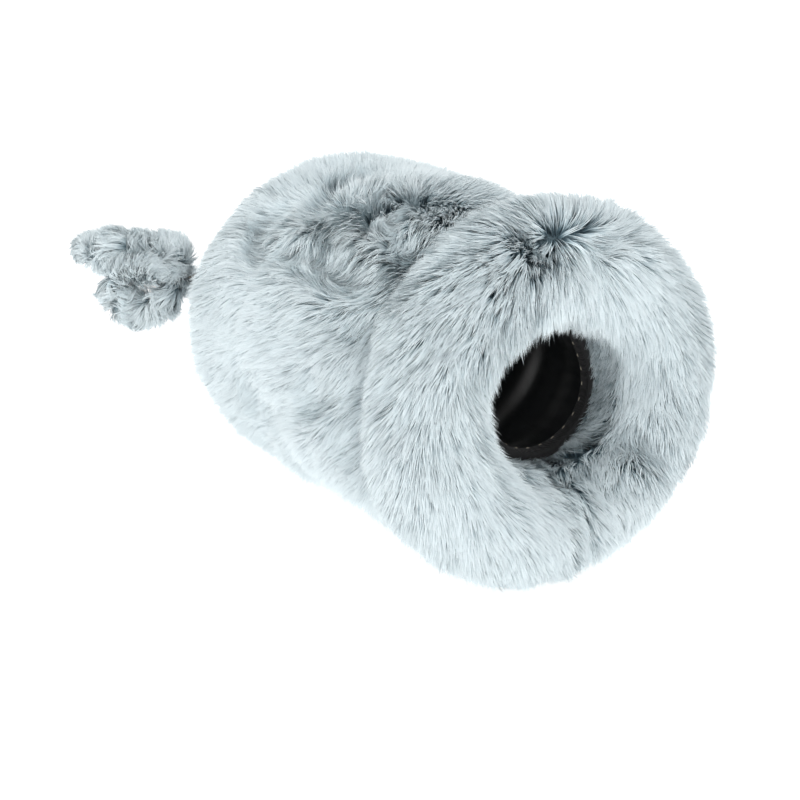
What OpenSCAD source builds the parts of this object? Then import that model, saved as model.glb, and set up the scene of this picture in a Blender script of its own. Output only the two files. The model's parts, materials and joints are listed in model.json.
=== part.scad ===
// Hand warmer muff: a soft fur tube with a fat rolled cuff at the front, a satin-lined hand channel
// through it, gathered bindings at both openings and a small stuffed carry loop sewn to the rear hem.
// +Z is up. The channel runs along +Y, the cuff faces -Y, and the muff lies on the plane z = 0.

/* [Cuff] */
// Outer diameter of the cuff over its pile
cuff_outer_d = 236; // [220:1:260]
// Thickness of the cuff's roll over its pile
cuff_roll_d = 76; // [64:1:80]
// Thickness of the stuffing roll inside the cuff's fur
cuff_stuffing_d = 50; // [40:1:56]
// How far the cuff is pressed flat where it lies on a surface
cuff_flat = 6; // [2:0.5:8]
// Place of the seam that closes the cuff's fur into a ring, in degrees from +X towards +Z
cuff_join_angle = -78; // [-84:1:-50]

/* [Body] */
// Diameter of the body over its pile
body_d = 220; // [200:1:228]
// Length of the muff behind the middle of the cuff
body_length = 290; // [260:1:320]
// Radius of the soft rounding at the rear end
rear_round = 65; // [50:1:66]
// Thickness of the body's fur, backing and pile together
fur_thickness = 14; // [10:0.5:16]
// How far the body is pressed flat where it lies on a surface
body_flat = 2; // [1:0.5:3]

/* [Hand channel] */
// Inner diameter of the satin lining
lining_d = 100; // [94:1:104]
// Thickness of the satin with its interlining
lining_thickness = 2; // [1:0.5:3]
// Clear diameter between the fur at both openings
opening_d = 84; // [76:1:88]
// Depth of the fur that turns into the front opening
throat_depth = 18; // [16:1:36]
// Depth of the fur that turns into the rear opening
rear_throat_depth = 40; // [36:1:44]

/* [Bindings] */
// Width of each binding along the channel
binding_width = 10; // [8:0.5:12]
// Inner diameter of each binding
binding_d = 88; // [86:0.5:92]
// Width of the elastic inside each binding
elastic_width = 6; // [4:0.5:6]
// Thickness of the elastic
elastic_thickness = 2; // [1:0.5:3]
// Number of stitches around each binding
stitch_count = 32; // [16:1:40]

/* [Carry loop] */
// Thickness of the loop over its pile
loop_d = 18; // [16:1:20]
// Thickness of the loop where it leaves its tab
loop_root_d = 8; // [6:1:10]
// Width of the webbing tab that holds the loop
tab_width = 16; // [12:1:20]
// Thickness of the webbing tab
tab_thickness = 2; // [2:0.5:3]
// Length of the tab inside the muff
tab_inside = 16; // [12:1:20]
// Length of the tab from its root to the middle of its rounded end
tab_outside = 10.5; // [9:0.5:10.5]
// Direction in which the tab points, in degrees from +X towards +Y
tab_angle = 124; // [118:1:130]

/* [Seams] */
// Diameter of the sewing thread as it lies in a seam
thread_d = 2; // [1:0.5:3]

/* [Hidden] */
$fn = 96;

cuff_r = cuff_roll_d / 2;
cuff_ring_r = cuff_outer_d / 2 - cuff_r;
cuff_z = cuff_outer_d / 2 - cuff_flat;
body_r = body_d / 2;
body_z = body_r - body_flat;
body_inner_r = body_r - fur_thickness;
body_front = 20;
rear_round_start = body_length - rear_round;
opening_r = opening_d / 2;
lining_r = lining_d / 2;
channel_r = lining_r + lining_thickness;
rear_binding_end = body_length - rear_throat_depth;
binding_r = binding_d / 2;
join_seam_span = 2;
join_seam_depth = 2;
seam_inset = 14;
stitch_length = 4;
stitch_width = 0.9;
stitch_height = 0.8;
tab_root = [-70, 284, 126];
loop_taper_end = 30;
loop_core_share = 0.45;
loop_sides = 12;
loop_steps = 2;
loop_end_gap = 0.1;
// The loop's route, from its root round to its root: along the tab's direction, across it and up
loop_route = [
    [16, 0, -2], [19, 6, -6], [24, 9, -13], [32, 10, -19], [42, 11, -22],
    [51, 12, -21.5], [58, 12, -17], [61, 12, -9], [58, 12, -1], [50, 11, 3.5],
    [41, 10, 5], [32, 9, 5], [25, 6, 7], [22, -1, 9.5], [25, -8, 12],
    [33, -11, 13], [46, -12, 12], [61, -12, 12], [78, -13, 11], [92, -17, 7],
    [100, -22, 4.5], [102, -28, 1.5], [98, -34.5, -2], [90, -38, -4], [76, -37, -4],
    [60, -32, -4], [44, -25, -5], [32, -17, -6], [25, -11, -6], [19, -6, -5]
];

// Turns a flat outline of radius and depth into a ring about the channel, at the height z
module ring_at(z, sweep = 360, start = 0) {
    translate([0, 0, z]) rotate([-90, -start, 0]) rotate_extrude(angle = sweep) children();
}

// Everything above the surface that the muff lies on
module above_floor() {
    intersection() {
        children();
        translate([-300, -300, 0]) cube([600, 900, 600]);
    }
}

// A flat rectangle from one radius to another and from one depth to another
module band_outline(r0, r1, y0, y1) {
    translate([r0, y0]) square([r1 - r0, y1 - y0]);
}

module cuff_outline() {
    translate([cuff_ring_r, 0]) circle(r = cuff_r);
    band_outline(opening_r, channel_r, 0, throat_depth);
}

module stuffing_outline() {
    translate([cuff_ring_r, 0]) circle(d = cuff_stuffing_d);
}

// The body's side and rounded rear end as a full outline from the axis out
module body_outline(side_r, round_r) {
    band_outline(0, side_r, body_front, rear_round_start);
    band_outline(0, side_r - round_r, rear_round_start, rear_round_start + round_r);
    intersection() {
        translate([side_r - round_r, rear_round_start]) circle(r = round_r);
        band_outline(side_r - round_r, side_r, rear_round_start, rear_round_start + round_r);
    }
}

module cuff_space() {
    ring_at(cuff_z) cuff_outline();
}

module cuff_fur() {
    color([0.83, 0.88, 0.90]) above_floor() difference() {
        ring_at(cuff_z) difference() {
            cuff_outline();
            stuffing_outline();
        }
        cuff_body_seam();
        join_gap();
        front_band_space();
    }
}

module cuff_stuffing() {
    color([0.95, 0.95, 0.93]) above_floor() ring_at(cuff_z) stuffing_outline();
}

// The narrow parting in the pile over the seam that closes the cuff into a ring
module join_gap() {
    ring_at(cuff_z, join_seam_span, cuff_join_angle) difference() {
        translate([cuff_ring_r, 0]) circle(r = cuff_r + 1);
        stuffing_outline();
        band_outline(0, cuff_ring_r, -cuff_r - 1, cuff_r + 1);
    }
}

module cuff_join_seam() {
    color([0.35, 0.42, 0.46]) ring_at(cuff_z, join_seam_span, cuff_join_angle) difference() {
        translate([cuff_ring_r, 0]) circle(d = cuff_stuffing_d + 2 * join_seam_depth);
        stuffing_outline();
        band_outline(0, cuff_ring_r, -cuff_r - 1, cuff_r + 1);
    }
}

module cuff_body_seam() {
    seam_r = cuff_ring_r + cuff_r - seam_inset;
    color([0.35, 0.42, 0.46]) ring_at(cuff_z)
        translate([seam_r, sqrt(pow(cuff_r, 2) - pow(seam_r - cuff_ring_r, 2))]) circle(d = thread_d);
}

module body_fur() {
    color([0.83, 0.88, 0.90]) above_floor() difference() {
        ring_at(body_z) difference() {
            body_outline(body_r, rear_round);
            difference() {
                body_outline(body_inner_r, rear_round - fur_thickness);
                band_outline(0, channel_r, rear_binding_end, body_length);
            }
            band_outline(0, opening_r, 0, body_length + 1);
            band_outline(0, channel_r, 0, rear_binding_end);
        }
        cuff_space();
        cuff_body_seam();
        body_seam();
        loop_tab();
    }
}

module body_wadding() {
    color([0.95, 0.95, 0.93]) difference() {
        ring_at(body_z) difference() {
            body_outline(body_inner_r, rear_round - fur_thickness);
            band_outline(0, channel_r, 0, body_length);
        }
        cuff_space();
        front_band_space();
        body_seam();
        loop_tab();
    }
}

// The seam that closes the body's fur into a tube, along its underside
module body_seam() {
    color([0.35, 0.42, 0.46]) translate([0, cuff_r + 4, body_z - body_inner_r])
        rotate([-90, 0, 0]) cylinder(d = thread_d, h = rear_round_start - cuff_r - 4);
}

// The space behind the cuff's throat that the front binding and the lining's front end fill
module front_band_space() {
    ring_at(cuff_z) band_outline(0, channel_r, throat_depth, throat_depth + binding_width);
    ring_at(body_z) band_outline(0, channel_r, throat_depth + binding_width, cuff_r);
}

module lining() {
    color([0.06, 0.06, 0.07]) ring_at(body_z)
        band_outline(lining_r, channel_r, throat_depth + binding_width, rear_binding_end - binding_width);
}

// One binding with a channel inside it for its elastic, from the depth y back
module binding_ring(z, y) {
    ring_at(z) difference() {
        band_outline(binding_r, channel_r, y, y + binding_width);
        elastic_outline(y);
    }
}

module elastic_outline(y) {
    middle_r = (binding_r + channel_r) / 2;
    inset = (binding_width - elastic_width) / 2;
    band_outline(middle_r - elastic_thickness / 2, middle_r + elastic_thickness / 2,
                 y + inset, y + binding_width - inset);
}

// A ring of short stitches on the inner face of a binding
module stitch_ring(z, y) {
    for (i = [0 : stitch_count - 1])
        translate([0, y, z]) rotate([0, i * 360 / stitch_count, 0])
            translate([-stitch_length / 2, -stitch_width / 2, binding_r - stitch_height + 0.2])
                cube([stitch_length, stitch_width, stitch_height]);
}

module front_binding() {
    color([0.05, 0.05, 0.06]) binding_ring(cuff_z, throat_depth);
}

module front_elastic() {
    color([0.20, 0.20, 0.22]) ring_at(cuff_z) elastic_outline(throat_depth);
}

module front_stitches() {
    color([0.55, 0.52, 0.46]) stitch_ring(cuff_z, throat_depth + binding_width - 3);
}

module rear_binding() {
    color([0.05, 0.05, 0.06]) binding_ring(body_z, rear_binding_end - binding_width);
}

module rear_elastic() {
    color([0.20, 0.20, 0.22]) ring_at(body_z) elastic_outline(rear_binding_end - binding_width);
}

module rear_stitches() {
    color([0.55, 0.52, 0.46]) stitch_ring(body_z, rear_binding_end - binding_width + 3);
}

// Places a child at the tab's root, with its X along the tab and its Y across it
module at_tab() {
    translate(tab_root) rotate([0, 0, tab_angle]) children();
}

// A folded webbing tab with a round outer end, about which the loop turns
module loop_tab() {
    color([0.22, 0.27, 0.30]) at_tab() {
        translate([-tab_inside, -tab_width / 2, -tab_thickness / 2])
            cube([tab_inside + tab_outside, tab_width, tab_thickness]);
        translate([tab_outside, -tab_width / 2, 0]) rotate([-90, 0, 0])
            cylinder(d = tab_thickness, h = tab_width);
    }
}

module loop_tab_stitches() {
    color([0.55, 0.52, 0.46]) at_tab() for (x = [3, 5.5, 8])
        translate([x - stitch_width / 2, -tab_width / 2 + 2, tab_thickness / 2])
            cube([stitch_width, tab_width - 4, stitch_height]);
}

// A point between p1 and p2 on the smooth curve through p0, p1, p2 and p3
function between(p0, p1, p2, p3, t) = 0.5 * (2 * p1 + (p2 - p0) * t
    + (2 * p0 - 5 * p1 + 4 * p2 - p3) * t * t + (3 * p1 - 3 * p2 + p3 - p0) * t * t * t);

function route_point(k) = let (n = len(loop_route), i = floor(k / loop_steps))
    between(loop_route[(i + n - 1) % n], loop_route[i % n], loop_route[(i + 1) % n],
            loop_route[(i + 2) % n], k / loop_steps - i);

loop_rings = len(loop_route) * loop_steps;
loop_pace = 1 - loop_end_gap / loop_rings;

function unit(v) = v / norm(v);

// The loop grows from its thin root to its full thickness along the tab's direction
function loop_radius(p) = let (share = (p[0] - loop_route[0][0]) / (loop_taper_end - loop_route[0][0]))
    (loop_root_d + (loop_d - loop_root_d) * min(1, max(0, share))) / 2;

function loop_along(k) = unit(route_point((k + 1) * loop_pace) - route_point((k - 1 + loop_rings) * loop_pace));

// The part of v that is square to a direction, as a unit vector
function squared(v, along) = unit(v - (v * along) * along);

// A direction square to the route at each ring, turned as little as can be from one ring to the next
loop_frames = [for (k = 0, side = squared([0, 0, 1], loop_along(0)); k <= loop_rings;
    side = squared(side, loop_along(k + 1)), k = k + 1) side];

// The ring of points round the loop's route at ring number k, at a share of the loop's thickness
function loop_ring(k, share) = let (
    p = route_point(k * loop_pace),
    other = cross(loop_along(k), loop_frames[k]))
    [for (j = [0 : loop_sides - 1]) let (a = j * 360 / loop_sides)
        p + share * loop_radius(p) * (cos(a) * loop_frames[k] + sin(a) * other)];

function loop_rings_at(share) = [for (k = [0 : loop_rings]) each loop_ring(k, share)];

// The quads of one tube wall, whose first point is number first
function wall(first) = [for (k = [0 : loop_rings - 1], j = [0 : loop_sides - 1]) let (
    a = first + k * loop_sides,
    b = a + loop_sides,
    m = (j + 1) % loop_sides)
    each [[a + j, a + m, b + m], [a + j, b + m, b + j]]];

function turned(faces) = [for (f = faces) [f[2], f[1], f[0]]];

// The ring-shaped end between an outer ring that starts at point a and an inner one at point b
function end_ring(a, b) = [for (j = [0 : loop_sides - 1]) let (m = (j + 1) % loop_sides)
    each [[a + m, a + j, b + j], [a + m, b + j, b + m]]];

module loop_fur() {
    inner = (loop_rings + 1) * loop_sides;
    last = loop_rings * loop_sides;
    color([0.83, 0.88, 0.90]) at_tab() polyhedron(
        points = concat(loop_rings_at(1), loop_rings_at(loop_core_share)),
        faces = concat(wall(0), turned(wall(inner)), end_ring(0, inner), turned(end_ring(last, inner + last))));
}

module loop_stuffing() {
    last = loop_rings * loop_sides;
    color([0.95, 0.95, 0.93]) at_tab() polyhedron(
        points = loop_rings_at(loop_core_share),
        faces = concat(wall(0), [[for (j = [loop_sides - 1 : -1 : 0]) j]],
                       [[for (j = [0 : loop_sides - 1]) last + j]]));
}

cuff_fur();
cuff_stuffing();
cuff_join_seam();
cuff_body_seam();
body_fur();
body_wadding();
body_seam();
lining();
front_binding();
front_elastic();
front_stitches();
rear_binding();
rear_elastic();
rear_stitches();
loop_tab();
loop_tab_stitches();
loop_fur();
loop_stuffing();
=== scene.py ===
import json
import math

import bpy
import numpy as np
from mathutils import Matrix, Vector


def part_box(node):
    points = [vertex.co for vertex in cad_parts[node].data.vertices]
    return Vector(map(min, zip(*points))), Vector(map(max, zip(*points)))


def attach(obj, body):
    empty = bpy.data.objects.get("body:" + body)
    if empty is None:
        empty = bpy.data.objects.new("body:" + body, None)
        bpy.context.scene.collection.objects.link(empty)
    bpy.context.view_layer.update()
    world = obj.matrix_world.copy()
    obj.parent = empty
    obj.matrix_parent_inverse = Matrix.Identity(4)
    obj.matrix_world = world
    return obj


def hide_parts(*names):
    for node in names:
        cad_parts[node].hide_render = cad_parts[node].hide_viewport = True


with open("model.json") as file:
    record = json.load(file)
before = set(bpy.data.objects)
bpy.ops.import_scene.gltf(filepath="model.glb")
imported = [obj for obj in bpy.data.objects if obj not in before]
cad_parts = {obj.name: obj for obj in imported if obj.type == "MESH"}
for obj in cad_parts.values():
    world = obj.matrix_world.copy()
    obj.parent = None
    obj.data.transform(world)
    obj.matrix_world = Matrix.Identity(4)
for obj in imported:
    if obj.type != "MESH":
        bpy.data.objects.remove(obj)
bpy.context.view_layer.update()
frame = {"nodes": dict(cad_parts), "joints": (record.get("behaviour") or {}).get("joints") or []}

# ------------------------------ sizes, from the frame, in metres
cuff_lo, cuff_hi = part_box("cuff_fur")
body_lo, body_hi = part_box("body_fur")
lining_lo, lining_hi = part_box("lining")
front_lo, front_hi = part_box("front_binding")
rear_lo, rear_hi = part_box("rear_binding")
MUFF = "muff"
LOOP = "carry_loop"
CUFF_OUTER = (cuff_hi.x - cuff_lo.x) / 2
CUFF_ROLL = (cuff_hi.y - cuff_lo.y) / 2
CUFF_RING = CUFF_OUTER - CUFF_ROLL
CUFF_Z = cuff_hi.z - CUFF_OUTER
BODY_R = (body_hi.x - body_lo.x) / 2
BODY_Z = body_hi.z - BODY_R
BODY_END = body_hi.y
CHANNEL_R = (lining_hi.x - lining_lo.x) / 2
BINDING_WIDTH = front_hi.y - front_lo.y
BINDING_HALF = 0.0035       # half a binding's thickness
BINDING_R = CHANNEL_R - 0.001 - BINDING_HALF
hinge = frame["joints"][0]
TAB_ACROSS = -np.array(hinge["axis"])
TAB_ALONG = np.cross(TAB_ACROSS, (0, 0, 1))
TAB_REACH = 0.0105          # from the tab's root to the hinge
TAB_ROOT = np.array(hinge["pos_m"]) - TAB_REACH * TAB_ALONG
TAB_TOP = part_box("loop_tab")[1].z

PILE_RISE = 0.0145          # how far the pile stands off its backing
PILE_LENGTH = 0.0215         # how long one hair is
THROAT_SHARE = 0.74         # how much of that the fur inside the openings has
LOOP_LENGTH = 0.0185        # how long the carry loop's hairs are
LOOP_CORE = 0.42            # the loop's backing, as a share of its thickness over the pile
HAIR_WIDTH = 0.00042
FLOOR_GAP = 0.005           # how thin the pile is pressed where the muff lies on the floor
SEED = 41


# ------------------------------ camera and light
def make_camera():
    """A long lens from the front left and a little above, aimed so that the muff sits right of the middle."""
    azimuth, elevation = math.radians(-33.5), math.radians(17.0)
    distance = 1.2
    focal_share = 2.4125    # the focal length over the sensor's width
    aim = Vector((0.0, 0.120, 0.104))
    back = Vector((math.sin(azimuth) * math.cos(elevation),
                   -math.cos(azimuth) * math.cos(elevation), math.sin(elevation)))
    right = Vector((math.cos(azimuth), math.sin(azimuth), 0.0))
    up = back.cross(right)
    place = aim + distance * back
    look_at = aim - 0.0168 * right - 0.0286 * up
    view = (place - look_at).normalized()
    side = Vector((0, 0, 1)).cross(view).normalized()
    turn = Matrix((side, view.cross(side), view)).transposed().to_4x4()
    data = bpy.data.cameras.new("camera")
    data.sensor_width = 36.0
    data.lens = 36.0 * focal_share
    camera = bpy.data.objects.new("camera", data)
    camera.matrix_world = Matrix.Translation(place) @ turn
    bpy.context.scene.collection.objects.link(camera)
    bpy.context.scene.camera = camera


def area_light(name, place, aim, size, power, colour=(1, 1, 1)):
    data = bpy.data.lights.new(name, "AREA")
    data.shape = "DISK"
    data.size = size
    data.energy = power
    data.color = colour
    light = bpy.data.objects.new(name, data)
    away = (Vector(place) - Vector(aim)).normalized()
    light.matrix_world = Matrix.Translation(place) @ away.to_track_quat("Z", "Y").to_matrix().to_4x4()
    bpy.context.scene.collection.objects.link(light)


def make_studio():
    """A bright white studio, lit from the left, from the front and from behind on the right. The floor glows,
    so that it stays white under the muff."""
    scene = bpy.context.scene
    scene.view_settings.view_transform = "Standard"
    world = bpy.data.worlds.new("studio")
    world.use_nodes = True
    background = world.node_tree.nodes["Background"]
    background.inputs["Color"].default_value = (1, 1, 1, 1)
    background.inputs["Strength"].default_value = 0.84
    scene.world = world
    area_light("key", (-1.3, 0.3, 1.5), (0, 0.1, 0.1), 1.4, 8)
    area_light("fill", (-0.6, -1.6, 0.9), (0, 0.1, 0.1), 1.4, 7)
    area_light("far_fill", (1.5, 1.1, 1.1), (0, 0.1, 0.1), 1.4, 6)

    mesh = bpy.data.meshes.new("floor")
    reach = 6.0
    corners = [(-reach, -reach, 0), (reach, -reach, 0), (reach, reach, 0), (-reach, reach, 0)]
    mesh.from_pydata(corners, [], [(0, 1, 2, 3)])
    floor = bpy.data.objects.new("floor", mesh)
    bpy.context.scene.collection.objects.link(floor)
    material, shader = new_material("floor_paper", 0.9, 0.1)
    shader.inputs["Base Color"].default_value = (0.7, 0.7, 0.7, 1)
    shader.inputs["Emission Color"].default_value = (1, 1, 1, 1)
    shader.inputs["Emission Strength"].default_value = 0.75
    mesh.materials.append(material)


# ------------------------------ materials
def new_material(name, roughness, specular=0.5):
    material = bpy.data.materials.new(name)
    material.use_nodes = True
    shader = material.node_tree.nodes["Principled BSDF"]
    shader.inputs["Roughness"].default_value = roughness
    shader.inputs["Specular IOR Level"].default_value = specular
    return material, shader


def node(material, kind, **inputs):
    made = material.node_tree.nodes.new(kind)
    for name, value in inputs.items():
        made.inputs[name.replace("_", " ")].default_value = value
    return made


def ramp(material, source, stops):
    """A colour ramp with the given (place, colour) stops, fed by source."""
    made = material.node_tree.nodes.new("ShaderNodeValToRGB")
    elements = made.color_ramp.elements
    while len(elements) < len(stops):
        elements.new(0.5)
    for element, (place, colour) in zip(elements, stops):
        element.position = place
        element.color = (*colour, 1)
    material.node_tree.links.new(source, made.inputs["Fac"])
    return made.outputs["Color"]


# The darkest and the lightest hair: (place from root to tip, colour). Hair is mixed towards the darkest for
# its own random tone and, more, as painted shade.
DARK_AND_SHADED_HAIR = [
    (0.0, (0.012, 0.030, 0.044)),
    (0.55, (0.040, 0.082, 0.108)),
    (0.80, (0.26, 0.36, 0.41)),
    (1.0, (0.78, 0.88, 0.93)),
]
LIGHT_HAIR = [
    (0.0, (0.045, 0.085, 0.110)),
    (0.20, (0.15, 0.235, 0.28)),
    (0.40, (0.57, 0.70, 0.75)),
    (0.62, (0.82, 0.915, 0.945)),
    (1.0, (0.87, 0.955, 0.98)),
]


def fur_material():
    """Two-tone hair: V of the hair's own UV runs from root to tip, and U is how light that hair is, from its
    own tone and from painted shade.
    """
    material, shader = new_material("plush_pile", 0.6, 0.2)
    links = material.node_tree.links
    coordinates = node(material, "ShaderNodeUVMap")
    coordinates.uv_map = "OFBake"
    split = node(material, "ShaderNodeSeparateXYZ")
    links.new(coordinates.outputs["UV"], split.inputs["Vector"])
    mix = node(material, "ShaderNodeMix")
    mix.data_type = "RGBA"
    links.new(split.outputs["X"], mix.inputs["Factor"])
    links.new(ramp(material, split.outputs["Y"], DARK_AND_SHADED_HAIR), mix.inputs[6])
    links.new(ramp(material, split.outputs["Y"], LIGHT_HAIR), mix.inputs[7])
    links.new(mix.outputs[2], shader.inputs["Base Color"])
    shader.inputs["Sheen Weight"].default_value = 0.15
    shader.inputs["Sheen Roughness"].default_value = 0.5
    return material


def grained_material(name, roughness, specular, scale, dark, light, bump_depth, sheen=0.0):
    """A fibrous cloth: fine noise gives its colour and its bump."""
    material, shader = new_material(name, roughness, specular)
    links = material.node_tree.links
    place = node(material, "ShaderNodeTexCoord")
    grain = node(material, "ShaderNodeTexNoise", Scale=scale, Detail=5.0, Roughness=0.6)
    links.new(place.outputs["Object"], grain.inputs["Vector"])
    colour = ramp(material, grain.outputs["Fac"], [(0.32, dark), (0.68, light)])
    links.new(colour, shader.inputs["Base Color"])
    bump = node(material, "ShaderNodeBump", Strength=0.6, Distance=bump_depth)
    links.new(grain.outputs["Fac"], bump.inputs["Height"])
    links.new(bump.outputs["Normal"], shader.inputs["Normal"])
    shader.inputs["Sheen Weight"].default_value = sheen
    return material


def woven_material(name, roughness, thread, dark, light, slant=(1.0, 1.0, 1.0), sheen=0.0, specular=0.4):
    """A plain weave: two crossed sets of threads, one thread wide, with a little unevenness."""
    material, shader = new_material(name, roughness, specular)
    links = material.node_tree.links
    place = node(material, "ShaderNodeTexCoord")
    stretch = node(material, "ShaderNodeMapping", Scale=slant)
    links.new(place.outputs["Object"], stretch.inputs["Vector"])
    heights = []
    for direction in ("X", "Z"):
        wave = node(material, "ShaderNodeTexWave", Scale=0.5 / thread / 2, Distortion=0.6, Detail=1.0)
        wave.bands_direction = direction
        links.new(stretch.outputs["Vector"], wave.inputs["Vector"])
        heights.append(wave.outputs["Fac"])
    cross = node(material, "ShaderNodeMath")
    cross.operation = "MULTIPLY"
    links.new(heights[0], cross.inputs[0])
    links.new(heights[1], cross.inputs[1])
    uneven = node(material, "ShaderNodeTexNoise", Scale=120.0, Detail=3.0)
    links.new(place.outputs["Object"], uneven.inputs["Vector"])
    blend = node(material, "ShaderNodeMath")
    blend.operation = "MULTIPLY"
    links.new(cross.outputs[0], blend.inputs[0])
    links.new(uneven.outputs["Fac"], blend.inputs[1])
    links.new(ramp(material, blend.outputs[0], [(0.05, dark), (0.5, light)]), shader.inputs["Base Color"])
    bump = node(material, "ShaderNodeBump", Strength=0.5, Distance=0.0004)
    links.new(cross.outputs[0], bump.inputs["Height"])
    links.new(bump.outputs["Normal"], shader.inputs["Normal"])
    shader.inputs["Sheen Weight"].default_value = sheen
    return material


def satin_material():
    """Black satin: smooth, softly shining, with fine creases."""
    material, shader = new_material("black_satin", 0.46, 0.4)
    links = material.node_tree.links
    place = node(material, "ShaderNodeTexCoord")
    soft = node(material, "ShaderNodeTexNoise", Scale=45.0, Detail=3.0, Distortion=0.8)
    links.new(place.outputs["Object"], soft.inputs["Vector"])
    black, charcoal = (0.006, 0.007, 0.008), (0.014, 0.015, 0.016)
    colour = ramp(material, soft.outputs["Fac"], [(0.3, black), (0.7, charcoal)])
    links.new(colour, shader.inputs["Base Color"])
    bump = node(material, "ShaderNodeBump", Strength=0.35, Distance=0.0015)
    links.new(soft.outputs["Fac"], bump.inputs["Height"])
    links.new(bump.outputs["Normal"], shader.inputs["Normal"])
    shader.inputs["Sheen Weight"].default_value = 0.08
    shader.inputs["Sheen Roughness"].default_value = 0.35
    return material


# ------------------------------ smooth fields
def waves(points, wavelength, seed, count=7):
    """Smooth random values, mostly from -1 to 1, made of plane waves about one wavelength long."""
    rng = np.random.default_rng(seed)
    direction = rng.normal(size=(count, 3))
    direction /= np.linalg.norm(direction, axis=1)[:, None]
    pace = 2 * math.pi / wavelength * rng.uniform(0.7, 1.4, count)
    phase = rng.uniform(0, 2 * math.pi, count)
    return np.sin(points @ (direction * pace[:, None]).T + phase).sum(1) / math.sqrt(count)


def wave_vectors(points, wavelength, seed):
    return np.stack([waves(points, wavelength, seed + k) for k in range(3)], 1)


def smooth_max(a, b, width):
    share = np.clip(0.5 + 0.5 * (a - b) / width, 0, 1)
    return b + (a - b) * share + width * share * (1 - share)


def smooth_min(a, b, width):
    return -smooth_max(-a, -b, width)


def step_up(value, low, high):
    """0 below low, 1 above high and smooth between them."""
    share = np.clip((value - low) / (high - low), 0, 1)
    return share * share * (3 - 2 * share)


def unit(v):
    return v / np.maximum(np.linalg.norm(v, axis=-1, keepdims=True), 1e-9)


def gap_to(p, start, end):
    """The way to each point from the nearest place on the stretch from start to end."""
    along = end - start
    share = np.clip((p - start) @ along / max(along @ along, 1e-12), 0, 1)
    return p - start - share[:, None] * along


def closeness(away, reach):
    """1 for no distance, falling to 0 over about twice the reach."""
    return np.exp(-(away ** 2).sum(1) / (2 * reach ** 2))


def on_ring(ring_angle, roll_angle, rise=0.0):
    """A point on the cuff: ring_angle is from +X towards +Z, and roll_angle from outside towards the rear."""
    a, b = math.radians(ring_angle), math.radians(roll_angle)
    roll = CUFF_ROLL - PILE_RISE + rise
    r = CUFF_RING + roll * math.cos(b)
    return np.array([r * math.cos(a), roll * math.sin(b), CUFF_Z + r * math.sin(a)])


def on_side(y, angle, rise=0.0):
    """A point on the body's side at depth y, angle from +X towards +Z."""
    a = math.radians(angle)
    r = BODY_R - PILE_RISE + rise
    return np.array([r * math.cos(a), y, BODY_Z + r * math.sin(a)])


# Creases: stretches where the padding pulls in and the pile parts.
# Most ends here and in CUFF_CREASES weren't chosen by hand: another program worked them out, from places
# picked on the photo.
CREASE_RISE = 0.006         # how high over the backing they run
DEEPER = 1.8                # how many times deeper the body's are than written here
# On the body each is (y, angle) to (y, angle), then its reach, its depth and how far the pile parts.
BODY_CREASES = [(on_side(*start, CREASE_RISE), on_side(*end, CREASE_RISE), reach, DEEPER * depth, parting)
                for start, end, reach, depth, parting in [
    ((0.188, 130), (0.193, 135), 0.008, 0.005, 5.0),
    ((0.195, 138), (0.189, 144), 0.007, 0.004, 3.5),
    ((0.189, 144), (0.168, 150), 0.007, 0.003, 2.5),
    ((0.190, 108), (0.175, 107), 0.007, 0.003, 3.5),
    ((0.175, 106), (0.175, 99), 0.008, 0.005, 4.5),
    ((0.175, 99), (0.152, 97), 0.007, 0.003, 3.0),
    ((0.166, 110), (0.164, 118), 0.007, 0.004, 3.5),
    ((0.164, 118), (0.165, 123), 0.007, 0.003, 2.5),
    ((0.142, 124), (0.138, 121), 0.006, 0.003, 2.5),
    ((0.117, 104), (0.116, 109), 0.008, 0.005, 4.5),
    ((0.116, 109), (0.096, 114), 0.007, 0.004, 3.5),
    ((0.096, 114), (0.089, 119), 0.007, 0.005, 4.0),
    ((0.089, 119), (0.061, 123), 0.007, 0.004, 3.0),
    ((0.061, 123), (0.045, 124), 0.007, 0.004, 3.0),
    ((0.045, 124), (0.038, 108), 0.006, 0.003, 2.5),
    ((0.117, 104), (0.100, 104), 0.007, 0.003, 2.5),
    ((0.159, 143), (0.126, 141), 0.007, 0.006, 3.0),
    ((0.126, 141), (0.098, 142), 0.008, 0.008, 4.5),
    ((0.098, 142), (0.065, 142), 0.007, 0.006, 3.5),
    ((0.084, 147), (0.085, 156), 0.007, 0.002, 2.0),
    ((0.063, 155), (0.051, 153), 0.008, 0.003, 3.0),
    ((0.051, 153), (0.050, 157), 0.006, 0.002, 2.0),
    ((0.036, 166), (0.041, 180), 0.006, 0.005, 2.5),
    ((0.041, 180), (0.065, 196), 0.009, 0.005, 1.6),
    ((0.171, -160), (0.092, -175), 0.011, 0.0045, 0.5),
    ((0.092, -175), (0.047, 173), 0.010, 0.005, 1.2),
    ((0.171, -160), (0.189, -140), 0.011, 0.0035, 0.4),
    ((0.213, 118), (0.198, 114), 0.008, 0.003, 1.8),
    ((0.135, 62), (0.098, 52), 0.009, 0.006, 3.5),
    ((0.205, 38), (0.170, 28), 0.009, 0.006, 3.0),
    ((0.095, 20), (0.060, 10), 0.008, 0.005, 3.0),
    ((0.175, -12), (0.138, -22), 0.010, 0.005, 2.5),
    ((0.235, 78), (0.225, 62), 0.009, 0.005, 3.0),
]]
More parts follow.
